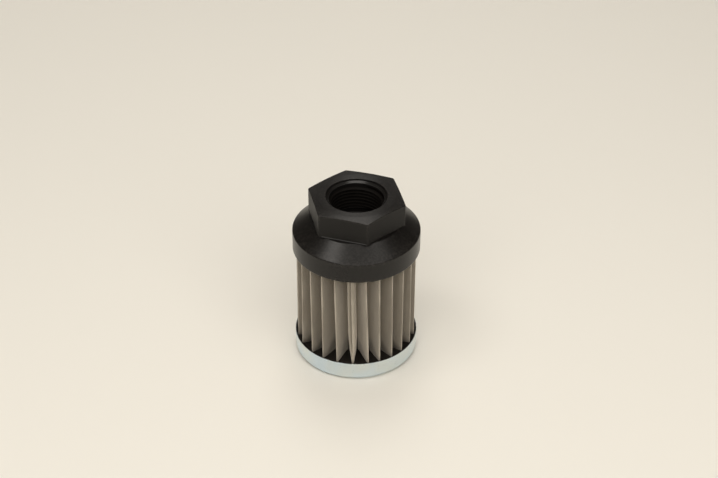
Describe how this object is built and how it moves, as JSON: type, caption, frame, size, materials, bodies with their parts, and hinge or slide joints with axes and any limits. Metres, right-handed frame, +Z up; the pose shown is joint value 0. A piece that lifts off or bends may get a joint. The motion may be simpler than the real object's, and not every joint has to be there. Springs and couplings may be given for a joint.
{
  "type": "hydraulic suction strainer",
  "caption": "Upright round suction strainer: black hexagon-headed cap with a female pipe thread, pleated wire-cloth filter on a perforated core, and a pressed steel cup below.",
  "frame": {"origin": "centre of the cup's flat underside", "axes": "+Z up along the strainer's axis towards the port; +X through a corner of the hexagon"},
  "size_m": [0.0616, 0.0616, 0.0879],
  "materials": {
    "black_polymer": "satin moulded, turned on the hexagon's top",
    "wire_cloth": "fine woven stainless wire, dull",
    "core_steel": "zinc plated",
    "zinc_plate": "bright zinc plating with a faint blue cast",
    "black_potting": "cast, semi gloss"
  },
  "bodies": {
    "root": {"top_cap": "black_polymer", "pleated_mesh": "wire_cloth", "core_tube": "core_steel", "bottom_cap": "zinc_plate", "bottom_potting": "black_potting", "top_potting": "black_potting"}
  },
  "joints": []
}
